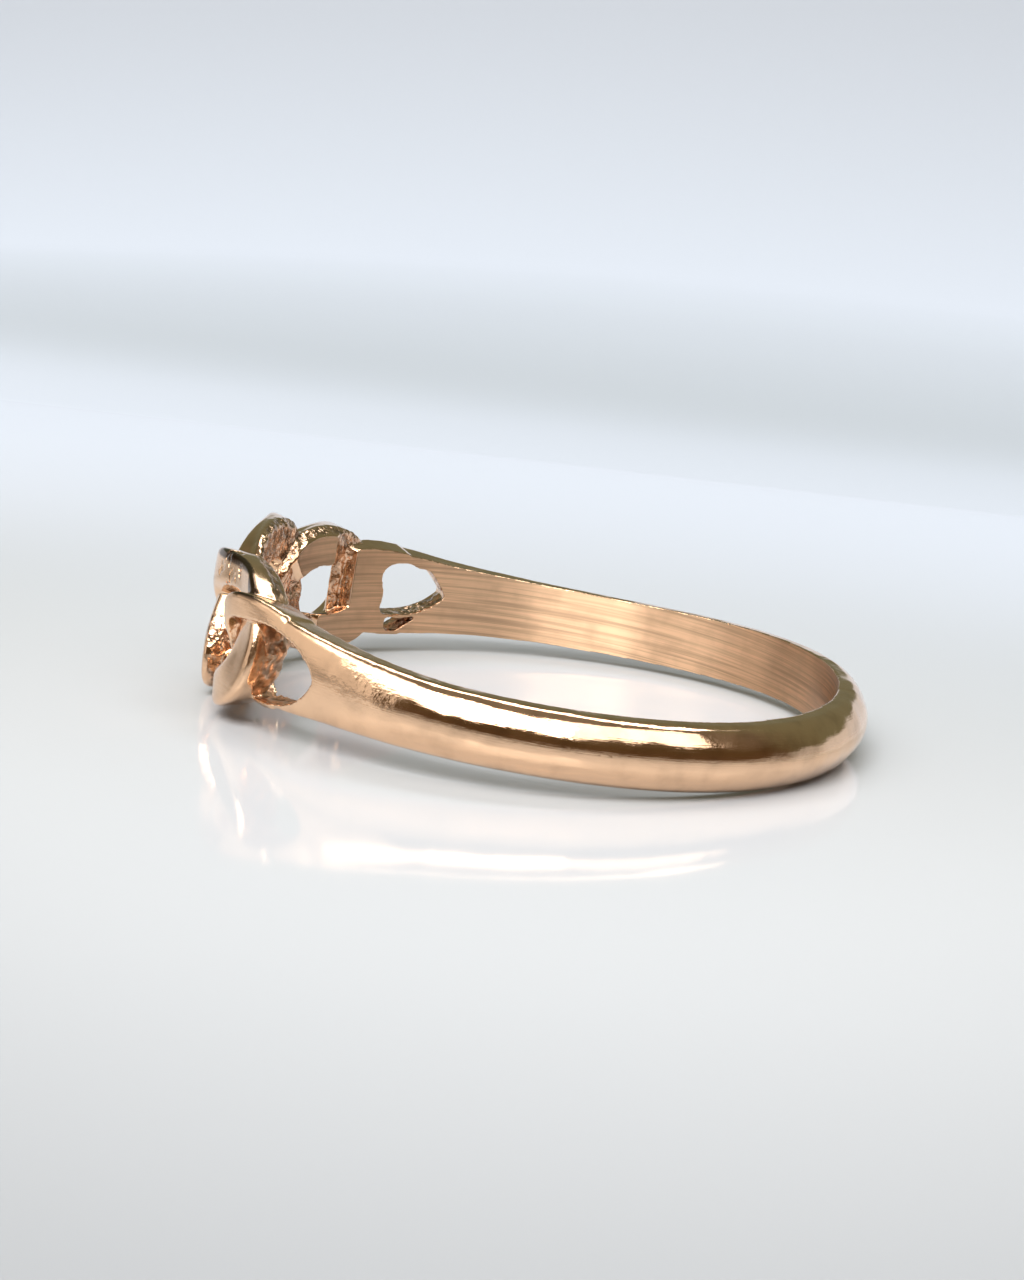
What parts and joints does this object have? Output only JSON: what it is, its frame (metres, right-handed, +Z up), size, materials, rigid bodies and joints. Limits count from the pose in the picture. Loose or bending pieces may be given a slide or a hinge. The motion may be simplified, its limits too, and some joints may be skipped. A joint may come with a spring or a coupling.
{
  "type": "chain ring",
  "caption": "Finger ring cast in one piece in polished rose gold: a narrow shank that opens at the shoulders into loops joined by curb chain links across the head.",
  "frame": {"origin": "centre of the part's footprint, on the surface that the ring lies on", "axes": "+Z up, -X towards the chain head, +X towards the back of the shank; the bore's axis leans 4.4 degrees from +Z towards +X"},
  "size_m": [0.0198, 0.0192, 0.005],
  "materials": {
    "gold": "polished rose gold, rougher as cast inside the links"
  },
  "bodies": {
    "root": {"chain_ring": "gold"}
  },
  "joints": []
}
